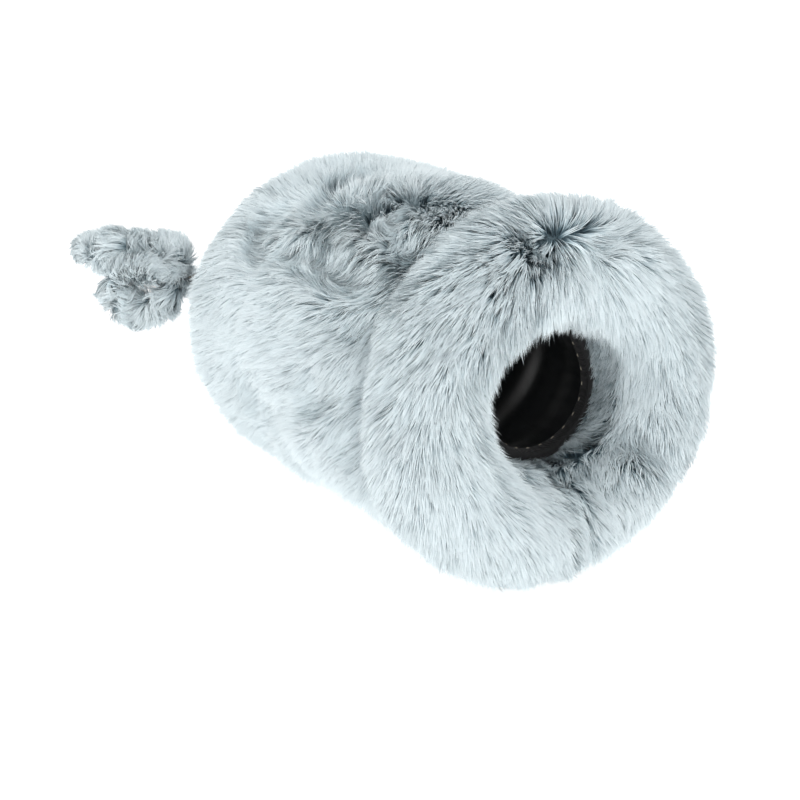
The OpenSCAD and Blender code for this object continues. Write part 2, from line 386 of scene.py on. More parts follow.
# On the cuff each is (ring angle, roll angle) to (ring angle, roll angle), then the same.
CUFF_CREASES = [(on_ring(*start, CREASE_RISE), on_ring(*end, CREASE_RISE), reach, depth, parting)
                for start, end, reach, depth, parting in [
    ((107, -37), (105, -52), 0.006, 0.004, 3.0),
    ((105, -52), (99, -48), 0.006, 0.004, 3.5),
    ((82, -56), (79, -66), 0.006, 0.004, 2.6),
    ((79, -66), (71, -54), 0.006, 0.003, 3.0),
    ((88, -81), (84, -96), 0.006, 0.005, 3.5),
    ((84, -96), (77, -122), 0.006, 0.004, 2.5),
    ((11, -137), (9, -123), 0.007, 0.002, 1.8),
    ((-11, -123), (-6, -130), 0.006, 0.002, 1.5),
    ((-65, 151), (-59, -168), 0.007, 0.003, 2.5),
    ((-41, -169), (-31, -156), 0.008, 0.004, 3.5),
    ((-34, -126), (-34, -112), 0.007, 0.004, 3.5),
    ((-34, -112), (-36, -68), 0.006, 0.003, 2.0),
    ((-77, -149), (-71, -138), 0.007, 0.003, 2.0),
]]
JOIN_ANGLE = math.radians(-82)
SQUEEZE = 0.008             # how far the front opening is pushed in at its upper right
OFFSET = 0.008              # how far the front opening sits right of the middle
LEFT_SQUEEZE = 0.0085       # how far it is pushed in at its lower left
SQUEEZE_ANGLE, SQUEEZE_SPREAD = math.radians(22), math.radians(36)


def squeeze(angle):
    """How far the front opening is pushed in at that angle, from +X towards +Z."""
    off = np.angle(np.exp(1j * (angle - SQUEEZE_ANGLE)))
    left = np.angle(np.exp(1j * (angle - math.radians(210))))
    pushed_in = SQUEEZE * np.exp(-(off / SQUEEZE_SPREAD) ** 2) + LEFT_SQUEEZE * np.exp(-left ** 2)
    return pushed_in - OFFSET * np.cos(angle)


def dented(h, p, creases):
    for start, end, reach, depth, _ in creases:
        h = h + depth * closeness(gap_to(p, start, end), reach)
    return h


def cuff_height(p):
    """How far points are above the cuff's backing, in metres, and negative inside it."""
    x, y, z = p[:, 0], p[:, 1], p[:, 2] - CUFF_Z
    rho, angle = np.hypot(x, z), np.arctan2(z, x)
    roll = np.hypot(rho - CUFF_RING, y) - (CUFF_ROLL - PILE_RISE)
    throat_r = CHANNEL_R + 0.0005 - squeeze(angle) * step_up(y, -0.012, front_lo.y)
    collar = np.maximum(np.abs(y - 0.4 * front_lo.y) - 0.6 * front_lo.y, rho - CUFF_RING)
    collar = smooth_max(throat_r - rho, collar, 0.005)
    h = smooth_min(roll, collar, 0.012)
    h = h - 0.0020 * waves(p, 0.075, 11) - 0.0008 * waves(p, 0.03, 12)
    h = dented(h, p, CUFF_CREASES)
    along = rho * np.sin(angle - JOIN_ANGLE)
    h = h + 0.005 * np.exp(-(along / 0.0040) ** 2) * (z < 0) * step_up(-y, -0.02, 0.005)
    return smooth_max(h, FLOOR_GAP - p[:, 2], 0.012)


def body_height(p):
    """How far points are above the body's backing, in metres, and negative inside it."""
    x, y, z = p[:, 0], p[:, 1], p[:, 2] - BODY_Z
    rho = np.hypot(x, z)
    round_r, side_r = 0.060, BODY_R - PILE_RISE - 0.002
    q1 = rho - (side_r - round_r)
    q2 = y - (BODY_END - PILE_RISE - round_r)
    h = np.hypot(np.maximum(q1, 0), np.maximum(q2, 0)) + np.minimum(np.maximum(q1, q2), 0) - round_r
    h = h + 0.008 * step_up(y, 0.21, 0.30) * step_up(z, 0.02, 0.09)
    h = h - 0.004 * np.exp(-((y - 0.13) / 0.05) ** 2) * step_up(z, 0.03, 0.09)
    h = h + 0.014 * np.exp(-((y - 0.036) / 0.024) ** 2) * (0.45 + 0.55 * step_up(z, -0.05, 0.06))
    h = smooth_max(h, 0.014 - y, 0.030)
    h = smooth_max(h, CHANNEL_R + 0.0005 - rho, 0.014)
    h = h - 0.0026 * waves(p, 0.11, 21) - 0.0014 * waves(p, 0.045, 22)
    h = dented(h, p, BODY_CREASES)
    return smooth_max(h, FLOOR_GAP - p[:, 2], 0.012)


def muff_height(p):
    return smooth_min(cuff_height(p), body_height(p), 0.008)


# The carry loop's route from its root round to its root, as in the part: millimetres along the tab, across it
# and up
LOOP_ROUTE = [
    (16, 0, -2), (19, 6, -6), (24, 9, -13), (32, 10, -19), (42, 11, -22),
    (51, 12, -21.5), (58, 12, -17), (61, 12, -9), (58, 12, -1), (50, 11, 3.5),
    (41, 10, 5), (32, 9, 5), (25, 6, 7), (22, -1, 9.5), (25, -8, 12),
    (33, -11, 13), (46, -12, 12), (61, -12, 12), (78, -13, 11), (92, -17, 7),
    (100, -22, 4.5), (102, -28, 1.5), (98, -34.5, -2), (90, -38, -4), (76, -37, -4),
    (60, -32, -4), (44, -25, -5), (32, -17, -6), (25, -11, -6), (19, -6, -5),
]
LOOP_THIN, LOOP_THICK, LOOP_TAPER_END = 0.004, 0.009, 0.030


def loop_line(steps=3):
    """The loop's middle line, a smooth closed curve through its route, and its radius over the pile there."""
    route = np.array(LOOP_ROUTE) / 1000
    k = np.arange(len(route) * steps + 1) / steps
    i = k.astype(int)
    t = (k - i)[:, None]
    a, b, c, d = (route[(i + shift) % len(route)] for shift in (-1, 0, 1, 2))
    local = 0.5 * (2 * b + (c - a) * t + (2 * a - 5 * b + 4 * c - d) * t ** 2
                   + (3 * b - 3 * c + d - a) * t ** 3)
    share = np.clip((local[:, 0] - route[0, 0]) / (LOOP_TAPER_END - route[0, 0]), 0, 1)
    place = (TAB_ROOT + local[:, :1] * TAB_ALONG + local[:, 1:2] * TAB_ACROSS
             + local[:, 2:] * np.array([0, 0, 1.0]))
    return place, LOOP_THIN + (LOOP_THICK - LOOP_THIN) * share


loop_middle, loop_radius = loop_line()


def along_loop(p):
    """Each point's distance to the loop's middle line, its nearest stretch, and the share along that."""
    start, along = loop_middle[:-1], np.diff(loop_middle, axis=0)
    away = p[:, None] - start
    share = np.clip((away * along).sum(2) / (along ** 2).sum(1), 0, 1)
    distance = np.linalg.norm(away - share[..., None] * along, axis=2)
    nearest = distance.argmin(1)
    rows = np.arange(len(p))
    return distance[rows, nearest], nearest, share[rows, nearest]


def loop_height(p):
    """How far points are above the carry loop's backing, in metres."""
    distance, nearest, share = along_loop(p)
    radius = loop_radius[nearest] * (1 - share) + loop_radius[nearest + 1] * share
    return distance - LOOP_CORE * radius * (1 + 0.12 * waves(p, 0.02, 51))


def gradient(height, p, step=0.0004):
    """The outward unit normal of a height field at the points, and the height there."""
    h = height(p)
    slope = np.empty_like(p)
    for axis in range(3):
        q = p.copy()
        q[:, axis] += step
        slope[:, axis] = (height(q) - h) / step
    return unit(slope), h


def settle(p, height, level=0.0, rounds=8):
    """Moves points along the normal until they lie at that height."""
    for _ in range(rounds):
        n, h = gradient(height, p)
        p = p - n * np.clip(h - level, -0.01, 0.01)[:, None]
    return p


# ------------------------------ meshes
def mesh_object(name, verts, faces, material, smooth=True):
    mesh = bpy.data.meshes.new(name)
    mesh.from_pydata([tuple(v) for v in verts], [], [tuple(f) for f in faces])
    if smooth:
        mesh.polygons.foreach_set("use_smooth", np.ones(len(mesh.polygons), bool))
    mesh.materials.append(material)
    mesh.validate()
    made = bpy.data.objects.new(name, mesh)
    bpy.context.scene.collection.objects.link(made)
    return made


def piece(name, grid, material, body, slot, *stands_for):
    """A piece of the muff that rides on a body and stands for CAD nodes."""
    made = mesh_object(name, *grid, material)
    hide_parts(*stands_for)
    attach(made, body)
    return made


def grid_faces(rows, columns, close_rows, close_columns):
    """Quads over a grid of rows by columns, wrapping round where it closes."""
    i, j = np.meshgrid(np.arange(rows if close_rows else rows - 1),
                       np.arange(columns if close_columns else columns - 1), indexing="ij")
    i, j = i.ravel(), j.ravel()
    k, m = (i + 1) % rows, (j + 1) % columns
    return np.stack([i * columns + j, i * columns + m, k * columns + m, k * columns + j], 1)


def facing(points, faces, outward):
    """The same faces, turned over if they look against outward, which is given for each point."""
    a, b, c = (points[faces[:, k]] for k in range(3))
    if (np.cross(b - a, c - a) * outward[faces[:, 0]]).sum() < 0:
        faces = faces[:, ::-1]
    return points, faces


def revolve(profile, count, z):
    """Points of a (radius, y) profile turned about the channel's axis at the height z."""
    profile = np.asarray(profile)
    a = np.linspace(0, 2 * math.pi, count, endpoint=False)
    r, y = profile[:, 0][:, None], profile[:, 1][:, None]
    return np.stack([r * np.cos(a), np.broadcast_to(y, (len(profile), count)),
                     z + r * np.sin(a)], -1).reshape(-1, 3)


def cuff_grid(rise=0.0, around=240, across=120):
    b = np.linspace(0, 2 * math.pi, across, endpoint=False)
    roll = CUFF_ROLL - PILE_RISE
    profile = np.stack([CUFF_RING + roll * np.cos(b), roll * np.sin(b)], 1)
    p = settle(revolve(profile, around, CUFF_Z), cuff_height, rise)
    return facing(p, grid_faces(across, around, True, True), gradient(cuff_height, p)[0])


def body_grid(rise=0.0, around=240, front=0.016, closed=False):
    """The body's backing from under the cuff, round the rear end and into the rear opening. Closed, it comes
    back along the channel to its front edge."""
    side_r, round_r, end = BODY_R - PILE_RISE, 0.060, BODY_END - PILE_RISE
    side = [(side_r - 0.012 * max(0, 1 - (y - front) / 0.03), y)
            for y in np.linspace(front, end - round_r, 70)]
    turn = np.radians(np.linspace(0, 90, 26)[1:])
    corner = [(side_r - round_r + round_r * math.cos(t), end - round_r + round_r * math.sin(t)) for t in turn]
    lip_r, inner_r = 0.010, CHANNEL_R
    lip = [(inner_r + lip_r - lip_r * math.sin(t), end - lip_r + lip_r * math.cos(t)) for t in turn]
    throat = [(inner_r, y) for y in np.linspace(end - lip_r, rear_hi.y, 12)[1:]]
    profile = side + corner[:-1] + lip + throat
    if closed:
        profile += [(inner_r + 0.003, y) for y in np.linspace(rear_hi.y, 0.045, 40)[1:]]
    p = settle(revolve(profile, around, BODY_Z), body_height, rise)
    return facing(p, grid_faces(len(profile), around, closed, True), gradient(body_height, p)[0])


def tubes(lines, radius, sides, closed=False):
    """Round tubes along lines, an array of (line, point, xyz). Open ones are narrower at their ends."""
    lines = np.asarray(lines, float)
    count, points = lines.shape[:2]
    if closed:
        along = unit(np.roll(lines, -1, 1) - np.roll(lines, 1, 1))
    else:
        along = unit(np.gradient(lines, axis=1))
    rough_side = np.where(np.abs(along[:, :1, 2:]) > 0.9, np.array([1.0, 0, 0]), np.array([0, 0, 1.0]))
    side = np.empty_like(lines)
    previous = np.broadcast_to(rough_side, (count, 1, 3))[:, 0]
    for k in range(points):
        previous = unit(previous - (previous * along[:, k]).sum(1, keepdims=True) * along[:, k])
        side[:, k] = previous
    other = np.cross(along, side)
    if closed:
        last = unit(previous - (previous * along[:, 0]).sum(1, keepdims=True) * along[:, 0])
        twist = np.arctan2((last * other[:, 0]).sum(1), (last * side[:, 0]).sum(1))
        turn = -twist[:, None, None] * (np.arange(points) / points)[None, :, None]
        side, other = side * np.cos(turn) + other * np.sin(turn), other * np.cos(turn) - side * np.sin(turn)
    a = np.linspace(0, 2 * math.pi, sides, endpoint=False)[:, None]
    size = np.broadcast_to(np.asarray(radius, float), (points,)).copy()
    if not closed:
        size[[0, -1]] *= 0.45
    ring = np.cos(a) * side[:, :, None] + np.sin(a) * other[:, :, None]
    verts = (lines[:, :, None] + size[:, None, None] * ring).reshape(-1, 3)
    one = grid_faces(points, sides, closed, True)[:, ::-1]
    faces = [tuple(f) for k in range(count) for f in one + k * points * sides]
    if not closed:
        for k in range(count):
            first, last = k * points * sides, (k * points + points - 1) * sides
            faces.append(tuple(range(first, first + sides)))
            faces.append(tuple(range(last + sides - 1, last - 1, -1)))
    return verts, faces


def scatter(points, faces, count, rng):
    """Random points spread evenly by area over a quad mesh."""
    tris = np.concatenate([faces[:, [0, 1, 2]], faces[:, [0, 2, 3]]])
    a, b, c = points[tris[:, 0]], points[tris[:, 1]], points[tris[:, 2]]
    area = np.linalg.norm(np.cross(b - a, c - a), axis=1)
    pick = np.searchsorted(np.cumsum(area) / area.sum(), rng.uniform(0, 1, count))
    pick = np.minimum(pick, len(tris) - 1)
    u, v = np.sqrt(rng.uniform(0, 1, (count, 1))), rng.uniform(0, 1, (count, 1))
    return (1 - u) * a[pick] + u * (1 - v) * b[pick] + u * v * c[pick]


# ------------------------------ the direction in which the pile lies
def lying(spot, direction):
    """The root and the way of hair whose visible end is at that spot."""
    way = unit(np.array(direction))
    return spot - 0.010 * way, way


# How the pile lies at a few places on the cuff: (ring angle, roll angle), and its direction as x, y, z
# Most rows here and in BODY_LIE are another program's too, rounded, from strands picked on the photo.
CUFF_LIE = [lying(on_ring(*place), direction) for place, direction in [
    ((110, -10), (-0.3, 1.0, 0.0)), ((88, -30), (0.2, 0.9, 0.3)), ((65, -45), (0.9, 0.5, 0.0)),
    ((115, -40), (-0.9, 0.4, -0.1)), ((130, -50), (-0.8, 0.1, -0.5)), ((145, -40), (-0.6, 0.1, -0.8)),
    ((165, -35), (-0.3, 0.1, -1.0)), ((-170, -55), (0.0, 0.1, -1.0)), ((-145, -55), (0.2, 0.3, -0.9)),
    ((-118, -75), (0.4, 0.2, -0.9)), ((-130, -125), (0.6, -0.1, -0.8)), ((150, -110), (-0.3, 0.1, -0.9)),
    ((125, -90), (-0.6, 0.0, -0.7)), ((108, -115), (-0.3, 0.1, -0.9)), ((84, -115), (0.4, 0.3, -0.8)),
    ((50, -100), (0.5, 0.0, -0.9)), ((10, -90), (0.5, 0.0, -0.9)), ((-15, -120), (0.2, -0.2, -0.9)),
    ((-5, -155), (-0.2, 0.1, -1.0)), ((-40, -80), (0.6, 0.3, -0.7)), ((-75, -80), (0.7, 0.3, -0.7)),
    ((-50, -165), (-0.8, 0.2, -0.4)), ((-97, -160), (-0.2, -0.9, -0.3)), ((-90, -115), (0.5, -0.3, -0.8)),
    ((20, -10), (0.2, 0.6, -0.8)), ((-60, 0), (0.3, 0.8, -0.4)), ((180, -150), (0.2, 0.5, -0.9)),
    ((90, -165), (-0.1, 0.5, -0.9)), ((20, 175), (-0.2, -0.1, -1.0)), ((-20, 175), (-0.2, -0.1, -1.0)),
]]
# The same on the body's side: (y, angle)
BODY_LIE = [lying(on_side(*place), direction) for place, direction in [
    ((0.215, 115), (-0.1, 1.0, 0.0)), ((0.200, 95), (0.5, 0.9, 0.1)), ((0.150, 85), (0.7, 0.7, 0.0)),
    ((0.100, 85), (1.0, -0.2, 0.0)), ((0.200, 150), (-0.4, 0.5, -0.8)), ((0.200, 170), (-0.1, 0.8, -0.6)),
    ((0.160, 175), (0.0, 0.8, -0.6)), ((0.100, 162), (-0.2, 0.6, -0.8)), ((0.050, 165), (-0.3, 0.3, -0.9)),
    ((0.130, -172), (0.1, 0.7, -0.7)), ((0.200, -150), (0.3, 0.8, -0.5)), ((0.065, -165), (0.2, 0.7, -0.7)),
    ((0.118, -150), (0.3, 0.8, -0.5)), ((0.045, -158), (0.2, 0.6, -0.8)), ((0.080, 148), (-0.5, -0.2, -0.8)),
    ((0.118, 146), (-0.3, 0.8, -0.5)), ((0.110, 134), (-0.3, -0.8, -0.4)), ((0.050, 128), (-0.6, -0.4, -0.6)),
    ((0.050, 114), (-0.8, -0.2, -0.5)), ((0.150, 50), (0.7, 0.3, -0.6)), ((0.060, 40), (0.6, 0.2, -0.7)),
    ((0.220, 20), (0.3, 0.7, -0.6)), ((0.120, 0), (0.1, 0.5, -0.9)), ((0.160, -35), (-0.3, 0.7, -0.6)),
]]


def combed(p, base, places, reach):
    """The pile's direction: as at the nearest of the places, and as the base far from them all."""
    direction = 0.1 * unit(base)
    for spot, way in places:
        direction = direction + closeness(p - spot, reach)[:, None] * way
    return unit(direction)


def parted(p, direction, creases):
    """Turns the lie of the pile away from each crease, and says how rough the pile is there, from 0 to 1.
    That roughness also darkens the pile there as painted shade.
    """
    rough = np.zeros(len(p))
    for start, end, reach, _, parting in creases:
        away = gap_to(p, start, end)
        direction = direction + 0.55 * parting * closeness(away, reach)[:, None] * unit(away)
        rough = np.maximum(rough, closeness(away, 0.95 * reach) * min(parting / 3.5, 1))
    return direction, rough


def cuff_lie(p):
    """Down the front, away from the top and over the rim into the opening."""
    x, z = p[:, 0], p[:, 2] - CUFF_Z
    outward = unit(np.stack([x, np.zeros(len(p)), z], 1))
    base = 0.3 * outward + np.array([0.0, 0.6, -0.8])
    direction = combed(p, base, CUFF_LIE, 0.024)
    direction = direction + 0.12 * wave_vectors(p, 0.055, 31) + 0.10 * wave_vectors(p, 0.018, 34)
    direction, rough = parted(p, direction, CUFF_CREASES)
    near_channel = 1 - step_up(np.hypot(x, z), CHANNEL_R + 0.008, CHANNEL_R + 0.020)
    inside = step_up(p[:, 1], -0.014, 0.0) * near_channel
    # Inside the opening the pile counts as rough, which gives it more dark shadow tufts there: painted shade.
    return direction, np.maximum(rough, 0.45 * inside)


def body_lie(p):
    """Rearwards down the sides, and over the rear end into the opening."""
    x, y, z = p[:, 0], p[:, 1], p[:, 2] - BODY_Z
    rho = np.hypot(x, z)
    inward = -np.stack([x, np.zeros(len(p)), z], 1) / np.maximum(rho, 1e-6)[:, None]
    over = step_up(y, 0.245, 0.272)[:, None]
    base = (1 - over) * np.array([0.0, 0.7, -0.7]) + over * (0.9 * inward + np.array([0, -0.35, -0.45]))
    direction = combed(p, base, BODY_LIE, 0.026)
    direction = direction + 0.22 * wave_vectors(p, 0.07, 41) + 0.16 * wave_vectors(p, 0.02, 44)
    return parted(p, direction, BODY_CREASES)


def tab_point(along, across, up):
    """A point given from the tab's root: along the tab, across it and up."""
    return TAB_ROOT + along * TAB_ALONG + across * TAB_ACROSS + np.array([0, 0, up])


# The gaps between the loop's runs: start, end and reach
LOOP_GAPS = [(tab_point(0.038, 0.012, -0.009), tab_point(0.050, 0.012, -0.009), 0.0075),
             (tab_point(0.030, -0.004, 0.008), tab_point(0.062, 0.000, 0.008), 0.0050),
             (tab_point(0.084, -0.026, 0.001), tab_point(0.092, -0.026, 0.001), 0.0070),
             (tab_point(0.016, 0.008, -0.004), tab_point(0.026, 0.010, -0.006), 0.0050)]


def loop_lie(p):
    """In curls, and a little away from the gaps between the loop's runs, where the dark roots show and the
    pile is darkened further as painted shade.
    """
    _, nearest, _ = along_loop(p)
    along = unit(loop_middle[nearest + 1] - loop_middle[nearest])
    direction = 0.35 * along + 0.75 * wave_vectors(p, 0.020, 61)
    rough = np.clip(0.05 + 0.25 * waves(p, 0.02, 64), 0, 0.4)
    for start, end, reach in LOOP_GAPS:
        away = gap_to(p, start, end)
        away = away - 0.8 * (away @ TAB_ACROSS)[:, None] * TAB_ACROSS
        direction = direction + 0.7 * closeness(away, 2.2 * reach)[:, None] * unit(away)
        rough = np.maximum(rough, 0.85 * closeness(away, 0.8 * reach))
    return direction, rough


# ------------------------------ pile
STEPS = 6          # stretches of a tuft's middle line
RIB_POINTS = 4     # points along one hair
PER_TUFT = 5       # hairs in a tuft


def grow_tufts(roots, direction, rough, height, length, rng):
    """The middle line of each tuft: it rises off the backing, then lies over and follows the surface."""
    count = len(roots)
    normal, _ = gradient(height, roots)
    spin = rng.normal(0, 1, count) * (0.07 + 0.30 * rough)
    direction = unit(direction - (direction * normal).sum(1)[:, None] * normal)
    direction = unit(direction + np.cross(normal, direction) * spin[:, None])
    shorter = 1 - 0.12 * rough - 0.34 * step_up(rough, 0.6, 0.95)
    reach = length * rng.normal(1, 0.05, count).clip(0.85, 1.15) * shorter
    rise = np.radians(76 + rng.normal(0, 4, count) - 22 * rough)
    rest = np.radians(26 + rng.normal(0, 5, count) - 8 * rough + 10 * rough * rng.normal(0, 1, count))
    line = [roots]
    p = roots
    for k in range(STEPS):
        t = (k + 0.5) / STEPS
        lift = rise + (rest - rise) * t ** 0.6
        flat = unit(direction - (direction * normal).sum(1)[:, None] * normal)
        heading = flat * np.cos(lift)[:, None] + normal * np.sin(lift)[:, None]
        p = p + heading * (reach / STEPS)[:, None]
        direction = flat
        normal, h = gradient(height, p)
        lowest = (0.0015 + 0.004 * t) * reach / PILE_LENGTH
        p = p + normal * np.maximum(lowest - h, 0)[:, None]
        line.append(p)
    return np.stack(line, 1), normal


def hairs_from_tufts(line, spread, pinch, rng):
    """Hairs round each tuft's line, spread at the root and drawn together towards the tip."""
    count = len(line)
    along = unit(line[:, 1] - line[:, 0])
    side = unit(np.cross(along, rng.normal(size=(count, 3))))
    other = np.cross(along, side)
    angle = rng.uniform(0, 2 * math.pi, (count, PER_TUFT))
    away = spread[:, None] * np.sqrt(rng.uniform(0, 1, (count, PER_TUFT)))
    offset = ((np.cos(angle) * away)[..., None] * side[:, None]
              + (np.sin(angle) * away)[..., None] * other[:, None])
    share = rng.uniform(0.74, 1.0, (count, PER_TUFT))
    t = np.linspace(0, 1, RIB_POINTS)
    place = share[..., None] * t * STEPS
    low = np.minimum(place.astype(int), STEPS - 1)
    part = (place - low)[..., None]
    rows = np.arange(count)[:, None, None]
    middle = line[rows, low] * (1 - part) + line[rows, low + 1] * part
    closing = 1 - pinch[:, None, None, None] * (t ** 1.3)[None, None, :, None]
    wander = rng.normal(0, 0.0007, (count, PER_TUFT, 1, 3)) * (t ** 2)[None, None, :, None]
    return (middle + offset[:, :, None] * closing + wander).reshape(-1, RIB_POINTS, 3)


def pile_object(name, hairs, outward, tone, rng, material, first):
    """One mesh of flat tapering hairs. Its UV gives each hair's lightness, painted shade included, and the
    way from root to tip, which starts at first."""
    count = len(hairs)
    hairs = hairs.copy()
    hairs[..., 2] = np.maximum(hairs[..., 2], 0.0006)
    along = unit(np.gradient(hairs, axis=1))
    side = unit(np.cross(along, outward[:, None]))
    face = np.cross(side, along)
    roll = rng.normal(0, 0.6, (count, 1, 1))
    side = side * np.cos(roll) + face * np.sin(roll)
    shape = np.array([0.8, 1.0, 0.72])
    half = 0.5 * HAIR_WIDTH * rng.uniform(0.75, 1.3, (count, 1, 1)) * shape[None, :, None] * side[:, :-1]
    left, right = hairs[:, :-1] - half, hairs[:, :-1] + half
    verts = np.concatenate([np.stack([left, right], 2).reshape(count, -1, 3), hairs[:, -1:]], 1)
    per = verts.shape[1]
    loops = np.array([0, 1, 3, 2, 2, 3, 5, 4, 4, 5, 6])
    loop_index = (np.arange(count)[:, None] * per + loops).ravel()
    totals = np.tile([4, 4, 3], count)
    mesh = bpy.data.meshes.new(name)
    mesh.vertices.add(count * per)
    mesh.vertices.foreach_set("co", verts.astype(np.float32).ravel())
    mesh.loops.add(len(loop_index))
    mesh.loops.foreach_set("vertex_index", loop_index.astype(np.int32))
    mesh.polygons.add(len(totals))
    mesh.polygons.foreach_set("loop_start", np.concatenate([[0], np.cumsum(totals)[:-1]]).astype(np.int32))
    mesh.polygons.foreach_set("loop_total", totals.astype(np.int32))
    mesh.polygons.foreach_set("use_smooth", np.ones(len(totals), bool))
    step = 1 / (RIB_POINTS - 1)
    u = np.clip(tone[:, None] * 0.99 + np.array([0, 0.006, 0, 0.006, 0, 0.006, 0.003]), 0, 1)
    v = first + (1 - first) * np.broadcast_to(np.array([0, 0, step, step, 2 * step, 2 * step, 1.0]), u.shape)
    uv = np.stack([u, v], -1)[:, loops].reshape(-1, 2)
    layer = mesh.uv_layers.new(name="OFBake")
    layer.data.foreach_set("uv", uv.astype(np.float32).ravel())
    mesh.update()
    soft = unit(0.40 * face + 1.0 * outward[:, None])
    soft = np.concatenate([np.repeat(soft[:, :-1], 2, axis=1), soft[:, -1:]], 1).reshape(-1, 3)
    mesh.normals_split_custom_set_from_vertices(soft.astype(np.float32))
    mesh.materials.append(material)
    made = bpy.data.objects.new(name, mesh)
    bpy.context.scene.collection.objects.link(made)
    return made


SHADOW_SHARE = 0.08         # the share of tufts that are dark
SHADOW_IN_CREASES = 0.34    # how much larger that share is in a crease
SHADOW_DARKER = 0.45        # how much darker those tufts are


def grow_pile(name, grid, height, lie, tufts, pieces, seed, material, body, length, shortening_and_darkening, spread=0.0018,
              first=0.0):
    """Tufts of pile all over a backing. A function given for each root says how much shorter, as a share, and
    how much darker the pile is there; on the cuff and the body that darkening is painted shade in the valleys
    and openings."""
    rng = np.random.default_rng(seed)
    roots = scatter(*grid, tufts, rng)
    roots = roots[height(roots) > -0.003]
    direction, rough = lie(roots)
    shorter, darker = shortening_and_darkening(roots)
    lengths = length * (1 - shorter)
    shadow = rng.uniform(0, 1, len(roots)) < SHADOW_SHARE + SHADOW_IN_CREASES * rough
    lengths = np.where(shadow, 0.88 * lengths, lengths)
    line, outward = grow_tufts(roots, direction, rough, height, lengths, rng)
    hairs = hairs_from_tufts(line, spread * (1 - 0.6 * shadow), 0.15 + 0.60 * rough, rng)
    outward = np.repeat(outward, PER_TUFT, axis=0)
    # Painted shade: tufts in a crease are darker and vary more in lightness, and the darkening given for
    # valleys and openings comes off too.
    tone = 0.97 + 0.04 * waves(roots, 0.03, seed + 1) - 0.40 * step_up(rough, 0.6, 0.95) - darker
    tone = tone + rng.normal(0, 0.05, len(roots)) * (1 + 5 * rough)
    tone = np.where(shadow, tone - SHADOW_DARKER, tone)
    tone = np.repeat(tone, PER_TUFT) + rng.normal(0, 0.04, len(hairs))
    tone = np.clip(tone, 0, 1)
    angle = np.arctan2(hairs[:, 0, 2] - BODY_Z, hairs[:, 0, 0])
    order = np.argsort(angle, kind="stable")
    for k, part in enumerate(np.array_split(order, pieces)):
        made = pile_object(f"{name}_{k + 1}", hairs[part], outward[part], tone[part], rng, material, first)
        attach(made, body)


def cuff_shortened_and_shaded(roots):
    """Shorter and darker where the fur turns into the opening, and darker in the valley before the body; the
    darkening is painted shade.
    """
    rho = np.hypot(roots[:, 0], roots[:, 2] - CUFF_Z)
    inside = step_up(roots[:, 1], -0.010, 0.004) * (1 - step_up(rho, CHANNEL_R + 0.006, CHANNEL_R + 0.016))
    valley = 1 - step_up(body_height(roots), 0.006, 0.026)
    return (1 - THROAT_SHARE) * inside + 0.35 * valley, 0.12 * inside + 0.35 * valley


def body_shortened_and_shaded(roots):
    """Shorter and darker in the rear opening, and in the valley behind the cuff; the darkening is painted
    shade.
    """
    rho = np.hypot(roots[:, 0], roots[:, 2] - BODY_Z)
    inside = 1 - step_up(rho, CHANNEL_R + 0.006, CHANNEL_R + 0.018)
    valley = 1 - step_up(cuff_height(roots), 0.008, 0.040)
    return (1 - THROAT_SHARE) * inside + 0.40 * valley, 0.30 * inside + 0.48 * valley


def loop_pressed(roots):
    """The same everywhere: full length, and a little lighter than the muff."""
    return np.zeros(len(roots)), np.full(len(roots), -0.03)


# ------------------------------ lining, bindings and threads
def opening_ring(angle, radius, y, z, squeezed):
    """Points at those angles round an opening, pushed in at two sides if it is the front one."""
    r = radius - (squeeze(angle) if squeezed else 0)
    return np.stack([r * np.cos(angle), np.broadcast_to(y, np.shape(angle)), z + r * np.sin(angle)], -1)


def lining_grid(around=288, along=120):
    """The satin tube: gathered small at both bindings and fuller between them, with soft folds."""
    a = np.linspace(0, 2 * math.pi, around, endpoint=False)[None, :]
    y = np.linspace(front_hi.y - 0.003, rear_lo.y + 0.003, along)[:, None]
    full = step_up(y, front_hi.y, front_hi.y + 0.030) * (1 - step_up(y, rear_lo.y - 0.03, rear_lo.y))
    squeezed = squeeze(a) * (1 - step_up(y, front_hi.y, front_hi.y + 0.045))
    gathers = 0.0003 * np.sin(30 * a + 3 * np.sin(2 * a)) * (1 - full)
    sway = 9 * (y + 0.006 * np.sin(a + 0.6) + 0.004 * np.sin(3 * a)) / 0.1
    folds = (0.0016 * np.sin(sway * 2 * math.pi * 0.30) + 0.0014 * np.sin(3 * a + 22 * y)
             + 0.0006 * np.sin(5 * a - 30 * y))
    r = BINDING_R - 0.001 + 0.0025 * full - squeezed + gathers + (folds - 0.0018) * full
    z = CUFF_Z + (BODY_Z - CUFF_Z) * step_up(y, front_hi.y, front_hi.y + 0.04)
    p = np.stack([r * np.cos(a), np.broadcast_to(y, r.shape), z + r * np.sin(a)], -1).reshape(-1, 3)
    inward = np.array([0, 0, BODY_Z]) - p * np.array([1, 0, 1])
    return facing(p, grid_faces(along, around, False, True), inward)


def band_grid(y, z, half_thick, half_wide, squeezed, ripple=0.0, around=360, across=20):
    """A closed soft band round an opening, with a section between an oval and a rectangle."""
    a = np.linspace(0, 2 * math.pi, around, endpoint=False)[None, :]
    b = np.linspace(0, 2 * math.pi, across, endpoint=False)[:, None]
    thick = half_thick + ripple * np.sin(56 * a + 2 * np.sin(5 * a))
    push = np.sign(np.cos(b)) * np.abs(np.cos(b)) ** 0.6 * thick
    deep = np.sign(np.sin(b)) * np.abs(np.sin(b)) ** 0.6 * half_wide
    r = BINDING_R - (squeeze(a) if squeezed else 0) + push
    p = np.stack([r * np.cos(a), y + np.broadcast_to(deep, r.shape), z + r * np.sin(a)], -1).reshape(-1, 3)
    middle = opening_ring(np.broadcast_to(a, r.shape), BINDING_R, y, z, squeezed).reshape(-1, 3)
    return facing(p, grid_faces(across, around, True, True), p - middle)


STITCH_COUNT = 32


